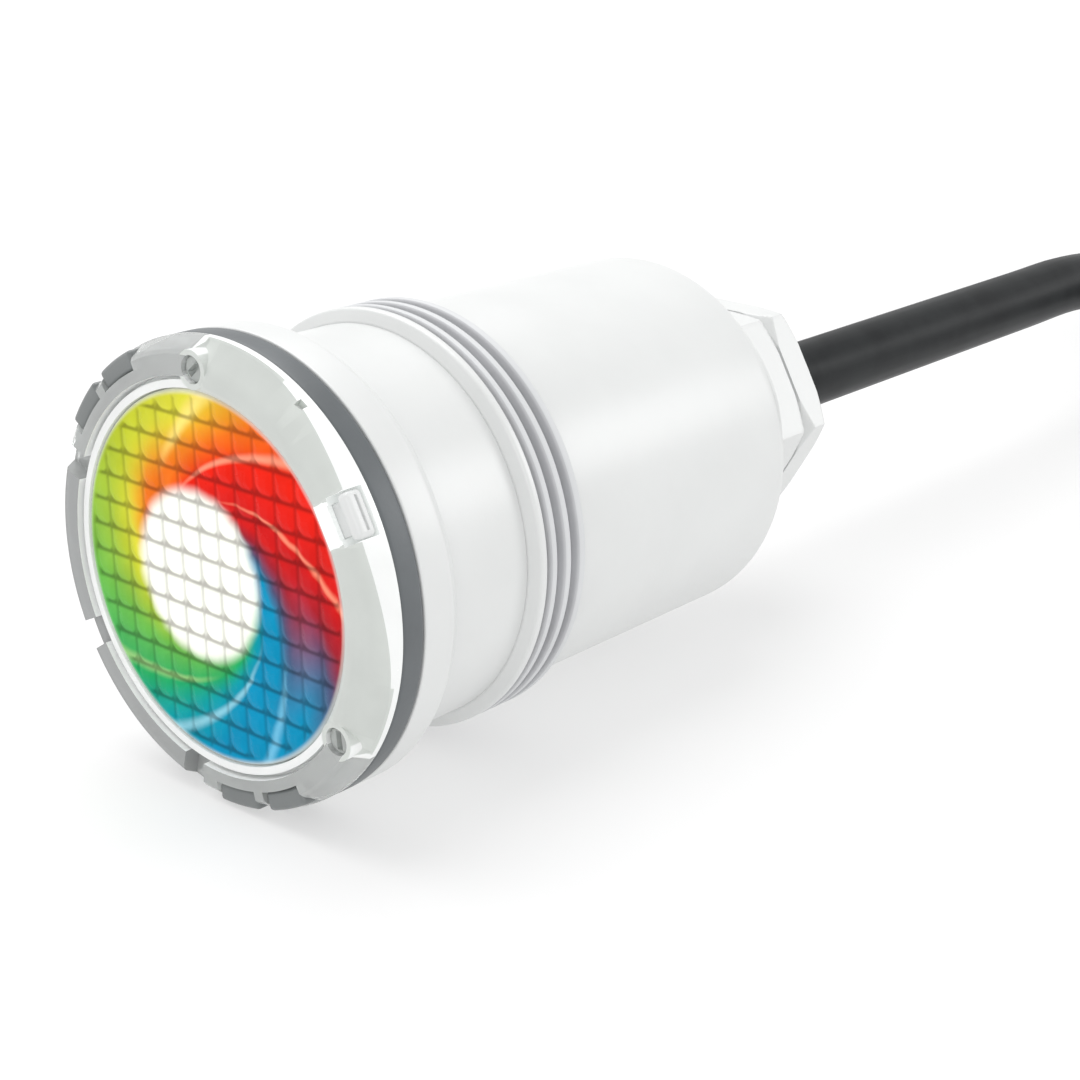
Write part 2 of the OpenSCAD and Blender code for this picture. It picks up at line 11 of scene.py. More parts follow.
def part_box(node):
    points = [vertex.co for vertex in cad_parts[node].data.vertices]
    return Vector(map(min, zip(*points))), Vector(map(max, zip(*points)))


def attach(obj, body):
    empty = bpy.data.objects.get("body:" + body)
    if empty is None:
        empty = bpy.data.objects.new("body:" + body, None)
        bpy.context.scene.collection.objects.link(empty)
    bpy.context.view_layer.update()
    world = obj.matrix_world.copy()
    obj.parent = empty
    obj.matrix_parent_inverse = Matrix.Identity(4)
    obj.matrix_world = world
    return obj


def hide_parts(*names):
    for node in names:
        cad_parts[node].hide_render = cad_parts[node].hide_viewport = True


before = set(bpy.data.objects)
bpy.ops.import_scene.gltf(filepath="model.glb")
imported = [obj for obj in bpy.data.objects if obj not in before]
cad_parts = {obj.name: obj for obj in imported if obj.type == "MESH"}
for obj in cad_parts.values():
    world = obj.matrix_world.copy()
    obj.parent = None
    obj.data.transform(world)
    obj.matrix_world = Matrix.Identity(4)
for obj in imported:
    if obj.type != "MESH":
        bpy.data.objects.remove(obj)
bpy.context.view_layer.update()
MM = 0.001
TURN = 2 * math.pi

# ---------------------------------------------------------------- places, from the frame


def low(node):
    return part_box(node)[0]


def high(node):
    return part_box(node)[1]


cap_front = low("front_cap").y
gasket_front = high("front_cap").y
flange_front = high("front_gasket").y
flange_r = high("front_gasket").x
lens_front = low("lens_disc").y
lens_back = high("lens_disc").y
lens_edge_r = high("lens_disc").x
lens_r = lens_edge_r - 0.9 * MM  # less the step that the cap holds
neck_end = low("housing_tube").y
barrel_end = high("housing_tube").y
fin_r = high("housing_tube").x
barrel_r = fin_r - 1.5 * MM  # the fins and the band stand proud of it
boss_end = high("rear_plug").y
nut_start = low("gland_nut").y
nut_end = high("gland_nut").y
hex_end = nut_start - 0.5 * MM  # gap between the two hexagons
cable_r = high("cable_entry").x
floor_z = low("cable_hank").z

# Clock angles are in degrees from +X towards +Z. The bosses, notches and windows count from the latch.
LATCH_CLOCK = 29
BOSS_CLOCK = 62
NOTCH_CLOCKS = (129, 180, 231)
WINDOW_CLOCKS = (93.5, 112, 248, 266.5)
CREST_CLOCK = 26  # from +X, where the cap's outer wall is highest
SCREW_CIRCLE_R = 21.2

# ---------------------------------------------------------------- camera

camera_data = bpy.data.cameras.new("camera")
camera_data.sensor_width = 36
camera_data.lens = 66.4
camera_data.clip_start = 0.005
camera_data.clip_end = 20
camera = bpy.data.objects.new("camera", camera_data)
bpy.context.scene.collection.objects.link(camera)
camera.location = (0.1436, -0.1255, 0.0695)
camera.rotation_mode = "QUATERNION"
camera.rotation_quaternion = Vector((-0.6201, 0.7070, -0.3390)).to_track_quat("-Z", "Y")
bpy.context.scene.camera = camera

# ---------------------------------------------------------------- node graphs


class Graph:
    """A material's node tree, with short calls to add nodes and sums."""

    def __init__(self, name):
        self.material = bpy.data.materials.new(name)
        self.material.use_nodes = True
        self.tree = self.material.node_tree
        self.tree.nodes.clear()
        self.output = self.add("ShaderNodeOutputMaterial")

    def add(self, kind, inputs=None, **settings):
        """Adds a node, sets its properties, then links or sets its inputs."""
        node = self.tree.nodes.new(kind)
        for key, value in settings.items():
            setattr(node, key, value)
        for key, value in (inputs or {}).items():
            if isinstance(value, bpy.types.NodeSocket):
                self.tree.links.new(value, node.inputs[key])
            else:
                node.inputs[key].default_value = value
        return node

    def sum(self, operation, *values, clamp=False):
        """Result of a math node."""
        node = self.add("ShaderNodeMath", dict(enumerate(values)), operation=operation, use_clamp=clamp)
        return node.outputs[0]

    def ramp(self, factor, start, end, low_value=0.0, high_value=1.0):
        """Smooth step of a factor from one value to another."""
        inputs = {"Value": factor, "From Min": start, "From Max": end}
        inputs |= {"To Min": low_value, "To Max": high_value}
        return self.add("ShaderNodeMapRange", inputs, interpolation_type="SMOOTHSTEP").outputs["Result"]

    def spread(self, noise, low_value=0.0, high_value=1.0):
        """Noise, which stays near its middle, drawn out over a whole range."""
        return self.ramp(noise, 0.3, 0.7, low_value, high_value)

    def edges(self):
        """1 along outer edges and 0 elsewhere."""
        return self.ramp(self.add("ShaderNodeNewGeometry").outputs["Pointiness"], 0.52, 0.62)

    def mix(self, factor, a, b, blend="MIX"):
        """Mix of two colours."""
        node = self.add("ShaderNodeMix", data_type="RGBA", blend_type=blend)
        for key, value in ((0, factor), (6, a), (7, b)):
            if isinstance(value, bpy.types.NodeSocket):
                self.tree.links.new(value, node.inputs[key])
            else:
                node.inputs[key].default_value = value
        return node.outputs[2]

    def noise(self, scale, detail=3.0, roughness=0.5, stretch=None):
        """Noise in the part's own frame, with an optional stretch along each axis."""
        place = self.add("ShaderNodeTexCoord").outputs["Object"]
        if stretch:
            place = self.add("ShaderNodeMapping", {"Vector": place, "Scale": stretch}).outputs[0]
        inputs = {"Vector": place, "Scale": scale, "Detail": detail, "Roughness": roughness}
        return self.add("ShaderNodeTexNoise", inputs).outputs["Fac"]

    def colours(self, factor, stops):
        """Colour ramp, in straight steps, through (position, colour) stops."""
        node = self.add("ShaderNodeValToRGB", {"Fac": factor})
        elements = node.color_ramp.elements
        node.color_ramp.interpolation = "LINEAR"
        while len(elements) < len(stops):
            elements.new(0.5)
        for element, (place, colour) in zip(elements, stops):
            element.position = place
        for element, (place, colour) in zip(elements, stops):
            element.color = (*colour, 1)
        return node.outputs["Color"]

    def bump(self, height, strength, distance):
        """Normal of a surface with a fine relief."""
        inputs = {"Height": height, "Strength": strength, "Distance": distance}
        return self.add("ShaderNodeBump", inputs).outputs["Normal"]

    def shade(self, **inputs):
        """Links a surface shader to the output. Its socket names have underscores for spaces."""
        shader = self.add("ShaderNodeBsdfPrincipled")
        for key, value in inputs.items():
            socket = shader.inputs[key.replace("_", " ")]
            if isinstance(value, bpy.types.NodeSocket):
                self.tree.links.new(value, socket)
            else:
                socket.default_value = value
        self.tree.links.new(shader.outputs[0], self.output.inputs["Surface"])
        return self.material


def rgb(*values):
    return (*values, 1.0)


def shaded(colour, factor):
    return rgb(*(min(1.0, c * factor) for c in colour[:3]))


def moulded(name, colour, roughness=0.38, grain=2600.0, depth=0.02, vary=0.05, wear=0.06, **extra):
    """Moulded or painted surface: cloudy colour, lighter worn edges, fine grain and uneven gloss."""
    g = Graph(name)
    cloudy = g.noise(90.0, 4.0, 0.55)
    fine = g.noise(grain, 3.0, 0.6)
    worn = g.sum("MULTIPLY", g.edges(), g.ramp(g.noise(700.0, 5.0, 0.65), 0.42, 0.62))
    base = g.mix(g.spread(cloudy), shaded(colour, 1 - vary), shaded(colour, 1 + vary * 0.6))
    base = g.mix(g.sum("MULTIPLY", worn, wear * 4, clamp=True), base, shaded(colour, 1.0 + wear * 4))
    gloss = g.sum("ADD", roughness - 0.05, g.sum("MULTIPLY", cloudy, 0.1))
    gloss = g.sum("ADD", gloss, g.sum("MULTIPLY", worn, 0.12))
    return g.shade(Base_Color=base, Roughness=gloss, Normal=g.bump(fine, 0.6, depth * MM), **extra)


# ---------------------------------------------------------------- materials


def white_plastic():
    colour = rgb(0.685, 0.695, 0.69)
    return moulded("white_plastic", colour, 0.34, 3200.0, 0.012, 0.02, 0.03, Specular_IOR_Level=0.8)


def fin_rubber():
    return moulded("fin_rubber", rgb(0.62, 0.63, 0.64), 0.55, 1800.0, 0.02, 0.03, 0.03)


# Darker copy of the fin rubber for the fins' flanks and grooves: painted shade.
def painted_shade_rubber():
    return moulded("painted_shade_rubber", rgb(0.52, 0.525, 0.54), 0.6, 1800.0, 0.02, 0.06, 0.03)


def gasket_rubber():
    return moulded("gasket_rubber", rgb(0.112, 0.123, 0.130), 0.42, 1500.0, 0.03, 0.12, 0.12)


def cable_rubber():
    """Dark grey sheath with faint lengthwise drawing marks."""
    g = Graph("cable_rubber")
    cloudy = g.noise(140.0, 4.0, 0.6)
    drawn = g.noise(900.0, 4.0, 0.6, stretch=(1.0, 0.05, 1.0))
    base = g.mix(g.spread(cloudy), rgb(0.008, 0.009, 0.010), rgb(0.015, 0.017, 0.018))
    gloss = g.sum("ADD", 0.34, g.sum("MULTIPLY", drawn, 0.14))
    grain = g.bump(drawn, 0.5, 0.02 * MM)
    return g.shade(Base_Color=base, Roughness=gloss, Specular_IOR_Level=0.14, Normal=grain)


def clear_plastic(name, colour, clear, roughness, painted_glow=0.0):
    """Clear or frosted plastic, with the share that light passes through and a painted glow that lightens
    shaded places.
    """
    g = Graph(name)
    cloudy = g.noise(160.0, 3.0, 0.5)
    fine = g.noise(1400.0, 3.0, 0.6)
    base = g.mix(g.spread(cloudy), shaded(colour, 0.96), shaded(colour, 1.03))
    # Edges are painted lighter: a painted highlight along them.
    base = g.mix(g.sum("MULTIPLY", g.edges(), 0.35), base, shaded(colour, 1.15))
    gloss = g.sum("ADD", roughness - 0.03, g.sum("MULTIPLY", cloudy, 0.08))
    return g.shade(
        Base_Color=base,
        Roughness=gloss,
        Transmission_Weight=clear,
        IOR=1.49,
        Emission_Color=rgb(*colour[:3]),
        Emission_Strength=painted_glow,
        Normal=g.bump(fine, 0.3, 0.01 * MM),
    )


SHEEN = 0.015  # white that the gloss adds to the lens
LENS_LIGHT = 0.97  # brightness of the light on the lens


def srgb(red, green, blue):
    """Base colour that looks, under the studio light, like the usual 0 to 255 values."""
    linear = [((v / 255 + 0.055) / 1.055) ** 2.4 for v in (red, green, blue)]
    return tuple(max(0.003, (v - SHEEN) / LENS_LIGHT) for v in linear)


RED = srgb(230, 50, 40)
DEEP_RED = srgb(205, 45, 45)
ORANGE = srgb(230, 115, 45)
AMBER = srgb(225, 170, 55)
YELLOW = srgb(215, 210, 70)
LIME = srgb(185, 195, 60)
GREEN = srgb(110, 180, 80)
DEEP_GREEN = srgb(50, 165, 100)
TEAL = srgb(20, 150, 160)
BLUE = srgb(15, 140, 180)
PURPLE = srgb(85, 85, 115)
WINE = srgb(155, 50, 60)

# Colours round the lens, by the share of a turn, near its rim and near its white centre
RIM_COLOURS = [
    (0.0, DEEP_RED), (0.12, RED), (0.18, ORANGE), (0.22, AMBER), (0.26, YELLOW), (0.36, LIME),
    (0.52, GREEN), (0.62, DEEP_GREEN), (0.68, TEAL), (0.74, BLUE), (0.87, BLUE), (0.93, PURPLE),
    (0.96, WINE), (1.0, DEEP_RED),
]
INNER_COLOURS = [
    (0.0, DEEP_RED), (0.13, RED), (0.20, ORANGE), (0.29, ORANGE), (0.33, AMBER), (0.37, YELLOW),
    (0.42, LIME), (0.52, GREEN), (0.61, DEEP_GREEN), (0.66, TEAL), (0.71, BLUE), (0.79, BLUE),
    (0.84, PURPLE), (0.90, WINE), (0.95, DEEP_RED), (1.0, DEEP_RED),
]
# Pale streaks: centre and half width in turns, radii where each fades in, and colour
STREAKS = (
    (0.010, 0.010, 0.40, 0.62, srgb(250, 155, 125)),
    (0.137, 0.012, 0.45, 0.60, srgb(250, 165, 135)),
    (0.245, 0.020, 0.60, 0.80, srgb(245, 225, 130)),
    (0.604, 0.014, 0.50, 0.68, srgb(160, 205, 130)),
    (0.693, 0.014, 0.42, 0.60, srgb(150, 205, 220)),
    (0.812, 0.014, 0.60, 0.75, srgb(120, 190, 220)),
)
SWIRL = 62 / 360  # turns that the colours run back by towards the middle
WHITE_X = -0.10  # the white centre's place and radius, in lens radii
WHITE_R = 0.455
SWIRL_MIN_R = 0.25
INNER_R = 0.58  # up to here the inner colours show
RIM_R = 0.90  # from here on the rim's colours show
EDGE_R = 0.965  # from here on the pale edge shows


def lens_colours():
    """Rainbow swirl round a white centre. The swirl's angle runs back towards the middle."""
    g = Graph("lens_colours")
    place = g.add("ShaderNodeSeparateXYZ", {0: g.add("ShaderNodeTexCoord").outputs["Object"]})
    x = g.sum("DIVIDE", place.outputs["X"], lens_r)
    z = g.sum("DIVIDE", place.outputs["Z"], lens_r)

    def length(a, b):
        return g.sum("SQRT", g.sum("ADD", g.sum("MULTIPLY", a, a), g.sum("MULTIPLY", b, b)))

    radius = length(x, z)
    inverse = g.sum("DIVIDE", 1.0, g.sum("MAXIMUM", radius, SWIRL_MIN_R))
    twist = g.sum("MULTIPLY", g.sum("SUBTRACT", inverse, 1.0), SWIRL)
    clock = g.sum("ADD", g.sum("DIVIDE", g.sum("ARCTAN2", z, x), TURN), 2.0)
    turn = g.sum("FRACT", g.sum("SUBTRACT", clock, twist))
    inner, rim = g.colours(turn, INNER_COLOURS), g.colours(turn, RIM_COLOURS)
    colour = g.mix(g.ramp(radius, INNER_R, RIM_R), inner, rim)
    for centre, width, start, end, tone in STREAKS:
        line = g.ramp(g.sum("ABSOLUTE", g.sum("SUBTRACT", turn, centre)), width, 0.0)
        line = g.sum("MULTIPLY", line, g.ramp(radius, start, end))
        colour = g.mix(g.sum("MULTIPLY", line, 0.75), colour, rgb(*tone))
    white = g.ramp(length(g.sum("SUBTRACT", x, WHITE_X), z), WHITE_R + 0.05, WHITE_R - 0.04)
    colour = g.mix(white, colour, rgb(*srgb(248, 250, 240)))
    colour = g.mix(g.ramp(radius, EDGE_R, 1.01), colour, rgb(*srgb(222, 224, 218)))
    # The groove attribute darkens the lines between the scales: painted shade in the grooves.
    groove = g.add("ShaderNodeAttribute", attribute_name="groove").outputs["Fac"]
    colour = g.mix(groove, colour, g.mix(1.0, colour, rgb(0.50, 0.48, 0.48), "MULTIPLY"))
    lift = g.spread(g.noise(260.0, 3.0, 0.5), 0.94, 1.05)
    cloud = g.add("ShaderNodeCombineColor", {0: lift, 1: lift, 2: lift}).outputs[0]
    colour = g.mix(1.0, colour, cloud, "MULTIPLY")
    return g.shade(
        Base_Color=colour,
        Roughness=g.spread(g.noise(420.0, 3.0, 0.5), 0.24, 0.36),
        Specular_IOR_Level=0.04,
        # The lens glows faintly in its own colours: painted light that keeps them bright whatever the
        # shading.
        Emission_Color=colour,
        Emission_Strength=0.12,
        Normal=g.bump(g.noise(1500.0, 2.0, 0.5), 0.25, 0.01 * MM),
    )


def metal(name, colour, roughness):
    """Bare metal with drawn scratches and a cloudy film."""
    g = Graph(name)
    drawn = g.noise(1400.0, 4.0, 0.6, stretch=(1.0, 0.08, 1.0))
    cloudy = g.noise(220.0, 3.0, 0.6)
    base = g.mix(g.spread(cloudy), shaded(colour, 0.88), shaded(colour, 1.05))
    gloss = g.sum("ADD", roughness - 0.08, g.sum("MULTIPLY", drawn, 0.16))
    return g.shade(Base_Color=base, Roughness=gloss, Metallic=1.0, Normal=g.bump(drawn, 0.5, 0.01 * MM))


WHITE = white_plastic()
FIN = fin_rubber()
FIN_PAINTED_SHADE = painted_shade_rubber()
GASKET = gasket_rubber()
CABLE = cable_rubber()
CLEAR = clear_plastic("clear_plastic", rgb(0.80, 0.82, 0.81), 0.62, 0.12)
CLEAR_LAND = clear_plastic("clear_land", rgb(0.66, 0.69, 0.66), 0.15, 0.35)
# Paler copy of the clear plastic: painted light on the outer wall's outward faces, and the pale inner
# step on the far side.
CLEAR_PALE_AND_LIT = clear_plastic("clear_pale_and_lit", rgb(0.90, 0.92, 0.91), 0.1, 0.25)
CLEAR_TAB = clear_plastic("clear_tab", rgb(0.42, 0.43, 0.43), 0.3, 0.15)
# Copy of the clear plastic that glows a little: painted light that lightens the latch's shaded pocket.
POCKET_PAINTED_GLOW = clear_plastic("clear_pocket_painted_glow", rgb(0.80, 0.82, 0.81), 0.1, 0.3, 0.22)
# Dark, nearly opaque copy of the clear plastic for the window panes: painted shade.
PANE_SHADE = clear_plastic("window_pane_shade", rgb(0.22, 0.235, 0.235), 0.2, 0.2)
SCREW = clear_plastic("clear_screw", rgb(0.70, 0.73, 0.71), 0.5, 0.15)
LENS = lens_colours()
BLACK_RUBBER = moulded("black_rubber", rgb(0.02, 0.02, 0.022), 0.55, 1800.0, 0.03, 0.2, 0.15)
STEEL = metal("stainless", rgb(0.62, 0.63, 0.64), 0.3)
ALUMINIUM = metal("sink_metal", rgb(0.78, 0.79, 0.80), 0.38)
BRASS = metal("brass", rgb(0.78, 0.58, 0.26), 0.3)
TINNED = metal("tinned_copper", rgb(0.72, 0.71, 0.68), 0.32)
TIE = moulded("tie_black", rgb(0.022, 0.022, 0.022), 0.45, 2200.0, 0.02, 0.15, 0.1)
BROWN = moulded("wire_brown", rgb(0.12, 0.045, 0.018), 0.42, 2400.0, 0.01, 0.08, 0.05)
BLUE = moulded("wire_blue", rgb(0.01, 0.07, 0.34), 0.42, 2400.0, 0.01, 0.08, 0.05)

# ---------------------------------------------------------------- meshes


def link(obj):
    bpy.context.scene.collection.objects.link(obj)
    return obj


SMOOTH_ANGLE = 35  # edges sharper than this, in degrees, stay sharp


def apart(a, b):
    """Angle between two clock angles, in degrees."""
    return abs((a - b + 180) % 360 - 180)


def mesh_object(name, vertices, faces, smooth_angle=SMOOTH_ANGLE):
    """Object from vertices and faces, shaded smooth except at edges sharper than the angle."""
    data = bpy.data.meshes.new(name)
    data.from_pydata([tuple(v) for v in vertices], [], faces)
    work = bmesh.new()
    work.from_mesh(data)
    bmesh.ops.remove_doubles(work, verts=work.verts, dist=1e-7)
    bmesh.ops.recalc_face_normals(work, faces=work.faces)
    work.to_mesh(data)
    work.free()
    smooth(data, smooth_angle)
    return link(bpy.data.objects.new(name, data))


def smooth(data, angle):
    data.polygons.foreach_set("use_smooth", [True] * len(data.polygons))
    data.set_sharp_from_angle(angle=math.radians(angle))


def rounded(corners, steps=4):
    """Points in metres of a closed outline of (r, y, radius) corners in millimetres, made round."""
    points = []
    count = len(corners)
    for i, (r, y, radius) in enumerate(corners):
        here = Vector((r, y))
        before = Vector(corners[i - 1][:2]) - here
        after = Vector(corners[(i + 1) % count][:2]) - here
        if radius <= 0:
            points.append(here * MM)
            continue
        half = before.angle(after) / 2
        reach = min(radius / math.tan(half), 0.45 * before.length, 0.45 * after.length)
        start = here + before.normalized() * reach
        end = here + after.normalized() * reach
        for k in range(steps + 1):
            t = k / steps
            points.append(((1 - t) ** 2 * start + 2 * t * (1 - t) * here + t * t * end) * MM)
    return points


def lathe(name, corners, segments=240, steps=4, start=0.0, sweep=360.0):
    """Solid of revolution about the lamp's axis from (r, y, radius) corners in millimetres."""
    outline = rounded(corners, steps)
    full = sweep >= 360
    rings = segments if full else segments + 1
    count = len(outline)
    vertices = []
    for i in range(rings):
        angle = math.radians(start + sweep * i / segments)
        for p in outline:
            vertices.append((p.x * math.cos(angle), p.y, p.x * math.sin(angle)))
    faces = ring_faces(segments, rings, count)
    if not full:
        faces.append(tuple(range(count)))
        faces.append(tuple(rings * count - 1 - k for k in range(count)))
    return mesh_object(name, vertices, faces)


def turned_ring(name, outline_at, segments):
    """Ring about the lamp's axis. Its section, (r, y) corners in millimetres, changes with the clock."""
    vertices = []
    for i in range(segments):
        clock = 360 * i / segments
        c, s = math.cos(math.radians(clock)), math.sin(math.radians(clock))
        outline = outline_at(clock)
        vertices += [(r * c * MM, y * MM, r * s * MM) for r, y in outline]
    return mesh_object(name, vertices, ring_faces(segments, segments, len(outline)))


def ring_faces(steps, rings, count):
    """Faces of so many steps between rings, each a closed outline of count points."""
    faces = []
    for i in range(steps):
        j = (i + 1) % rings
        for k in range(count):
            m = (k + 1) % count
            faces.append((i * count + k, i * count + m, j * count + m, j * count + k))
    return faces


def sector(clock, width, r_in, r_out, y0, y1):
    """Sector of a ring, for cutting, in millimetres."""
    corners = [(r_in, y0, 0), (r_out, y0, 0), (r_out, y1, 0), (r_in, y1, 0)]
    return lathe("cutter", corners, 12, 1, clock - width / 2, width)


def turned_to(obj, clock):
    """Turns an object's mesh about the lamp's axis, from +X towards +Z."""
    obj.data.transform(Matrix.Rotation(-math.radians(clock), 4, "Y"))
    return obj


def cylinder(r, y0, y1, x, clock):
    """Plain cylinder beside the lamp's axis and along it, for cutting and joining, in millimetres."""
    segments = 48
    angles = [TURN * i / segments for i in range(segments)]
    ring = [(x + r * math.cos(a), r * math.sin(a)) for a in angles]
    vertices = [(a * MM, y * MM, b * MM) for y in (y0, y1) for a, b in ring]
    pairs = [(i, (i + 1) % segments) for i in range(segments)]
    faces = [(i, j, segments + j, segments + i) for i, j in pairs]
    faces += [tuple(range(segments)), tuple(range(2 * segments - 1, segments - 1, -1))]
    return turned_to(mesh_object("cutter", vertices, faces), clock)


def block(size, centre, clock=0.0):
    """Box of a size about a centre, turned to a clock angle, in millimetres."""
    data = bpy.data.meshes.new("cutter")
    work = bmesh.new()
    bmesh.ops.create_cube(work, size=1.0)
    work.to_mesh(data)
    work.free()
    data.transform(Matrix.Translation(Vector(centre) * MM) @ Matrix.Diagonal((*(Vector(size) * MM), 1)))
    return turned_to(link(bpy.data.objects.new("cutter", data)), clock)


def apply_modifiers(obj):
    """Replaces the object's mesh by its evaluated one."""
    bpy.context.view_layer.update()
    graph = bpy.context.evaluated_depsgraph_get()
    data = bpy.data.meshes.new_from_object(obj.evaluated_get(graph))
    obj.modifiers.clear()
    obj.data = data
    return obj


def combine(obj, others, operation):
    """Joins the others to the object, or cuts them from it."""
    for other in others:
        modifier = obj.modifiers.new("combine", "BOOLEAN")
        modifier.operation = operation
        modifier.object = other
        modifier.solver = "MANIFOLD"
    apply_modifiers(obj)
    for other in others:
        bpy.data.objects.remove(other)
    return obj


def bevelled(obj, width, segments=2, angle=40):
    """Rounds the object's edges that are sharper than the angle, by a width in millimetres."""
    modifier = obj.modifiers.new("bevel", "BEVEL")
    modifier.width = width * MM
    modifier.segments = segments
    modifier.limit_method = "ANGLE"
    modifier.angle_limit = math.radians(angle)
    modifier.harden_normals = False
    apply_modifiers(obj)
    smooth(obj.data, SMOOTH_ANGLE)
    return obj


def merged(objects):
    """One object from several, as separate solids."""
    data = bpy.data.meshes.new("merged")
    work = bmesh.new()
    for obj in objects:
        work.from_mesh(obj.data)
    work.to_mesh(data)
    work.free()
    for obj in objects:
        bpy.data.objects.remove(obj)
    smooth(data, SMOOTH_ANGLE)
    return link(bpy.data.objects.new("merged", data))


def paint(obj, rule):
    """Sets each face's material number by a rule of its radius, y, clock and outward lean."""
    for face in obj.data.polygons:
        x, y, z = face.center / MM
        r = math.hypot(x, z)
        out = (face.normal.x * x + face.normal.z * z) / max(r, 0.01)
        face.material_index = rule(r, y, math.degrees(math.atan2(z, x)), out)


def finished(obj, name, material, body, slot, *nodes):
    """Names the piece, gives it its material and puts it in place of its CAD nodes."""
    obj.name = name
    obj.data.name = name
    faces = obj.data.polygons if obj.type == "MESH" else []
    numbers = [face.material_index for face in faces]
    obj.data.materials.clear()
    obj.data.materials.append(material)
    for face, number in zip(faces, numbers):
        face.material_index = number
    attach(obj, body)
    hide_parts(*nodes)
    return obj


HEX_ACROSS_FLATS = 25.3
CHAMFER_SLOPE = 1.7
EDGE_SOFTNESS = 0.12
CORNER_WEAR = 1.2


def hexagon(name, y0, y1, bore, chamfer):
    """Hexagonal collar with a bore, cone-chamfered corners and softly rounded edges, in millimetres."""
    flat = HEX_ACROSS_FLATS / 2
    limit = flat / math.cos(math.radians(30))
    rings, segments = 28, 360

    def outer(angle, y):
        local = (angle - LATCH_CLOCK + 30) % 60 - 30
        hexagonal = flat / math.cos(math.radians(local))
        edge = min(y - y0, y1 - y)
        cone = limit - chamfer + min(edge * CHAMFER_SLOPE, chamfer)
        blend = max(0.0, EDGE_SOFTNESS - abs(hexagonal - cone)) / EDGE_SOFTNESS
        near_corner = max(0.0, abs(local) / 30 - 0.93)
        return min(hexagonal, cone) - blend * blend * EDGE_SOFTNESS / 4 - CORNER_WEAR * near_corner ** 2

    depth = y1 - y0
    ys = sorted({y0 + depth * (0.5 - 0.5 * math.cos(math.pi * k / rings)) for k in range(rings + 1)})
    vertices = []
    for i in range(segments):
        angle = 360 * i / segments
        c, s = math.cos(math.radians(angle)), math.sin(math.radians(angle))
        column = [(bore, y1), (bore, y0)] + [(outer(angle, y), y) for y in ys]
        vertices += [(r * c * MM, y * MM, r * s * MM) for r, y in column]
    return mesh_object(name, vertices, ring_faces(segments, segments, len(ys) + 2), 30)


# ---------------------------------------------------------------- cable

# The route's points are those of the CAD source, in millimetres
ROUTE = [
    (0, 80.92, 0), (0, 100, 0), (0, 125, 0), (0, 150, 0), (0, 165, 0), (0, 178, -1.4), (0, 190, -4.2),
    (-0.7, 200, -9), (-3.4, 210, -14.2), (-9, 221, -18.2), (-14.9, 233, -19.5), (-17.3, 242, -19.5),
    (-18, 251, -19.5),
]
HANK_X = 18  # the hank's middle
HANK_NEAR_Y = 251  # where its straight runs start
RUN = 76  # length of a straight run
FOLD_R = 27  # radius of the inner turns' folds
WINDING = ((1, 0), (0, 0), (0, 1), (1, 1), (1, 2), (0, 2))  # column and level of each turn, in order
TURN_SHARE = 5 / 6  # of a turn, after which the cable has moved to its next place
CHANGE_SHARE = 1 / 6
END_SHARE = 0.56  # of the last straight run, where the cable ends
WHOLE_TURNS = 4  # of the hank, before the last part of a turn
STEPS_PER_SPAN = 5
STEPS_PER_TURN = 64


def catmull(points, i, t):
    """Point on the smooth curve between route points i and i + 1."""
    a, b, c, d = (Vector(points[max(0, min(len(points) - 1, i + k))]) for k in (-1, 0, 1, 2))
    squared = (2 * a - 5 * b + 4 * c - d) * t * t
    cubed = (3 * b - a - 3 * c + d) * t ** 3
    return 0.5 * (2 * b + (c - a) * t + squared + cubed)


def turn_place(travel):
    """Fold radius and height of the cable in the hank, after a travel in turns."""
    diameter = 2 * cable_r / MM
    places = [Vector((FOLD_R + column * diameter, floor_z / MM + (level + 0.5) * diameter))
              for column, level in WINDING]
    k = min(int(travel / TURN_SHARE), len(places) - 1)
    part = (travel - k * TURN_SHARE - (TURN_SHARE - CHANGE_SHARE)) / CHANGE_SHARE
    if k == len(places) - 1 or part <= 0:
        return places[k]
    return places[k].lerp(places[k + 1], part * part * (3 - 2 * part))


# Shares of a turn's length that one straight run and one fold take up
RUN_SHARE = RUN / (2 * RUN + TURN * (FOLD_R + cable_r / MM))
FOLD_SHARE = 0.5 - RUN_SHARE


def hank_point(travel):
    """Point of the hank, which goes away on the left, round the far fold and back on the right."""
    r, z = turn_place(travel)
    part = travel % 1
    far_y = HANK_NEAR_Y + RUN
    if part < RUN_SHARE:
        return Vector((HANK_X - r, HANK_NEAR_Y + RUN * part / RUN_SHARE, z))
    part -= RUN_SHARE
    if part < FOLD_SHARE:
        angle = math.pi * part / FOLD_SHARE
        return Vector((HANK_X - r * math.cos(angle), far_y + r * math.sin(angle), z))
    part -= FOLD_SHARE
    if part < RUN_SHARE:
        return Vector((HANK_X + r, far_y - RUN * part / RUN_SHARE, z))
    angle = math.pi * (part - RUN_SHARE) / FOLD_SHARE
    return Vector((HANK_X + r * math.cos(angle), HANK_NEAR_Y - r * math.sin(angle), z))


def cable_points():
    """Centre line of the whole cable, in metres."""
    points = []
    for i in range(len(ROUTE) - 1):
        points += [catmull(ROUTE, i, k / STEPS_PER_SPAN) for k in range(STEPS_PER_SPAN)]
    total = WHOLE_TURNS + RUN_SHARE + FOLD_SHARE + END_SHARE * RUN_SHARE
    steps = round(total * STEPS_PER_TURN)
    points += [hank_point(total * n / steps) for n in range(steps + 1)]
    return [p * MM for p in points]


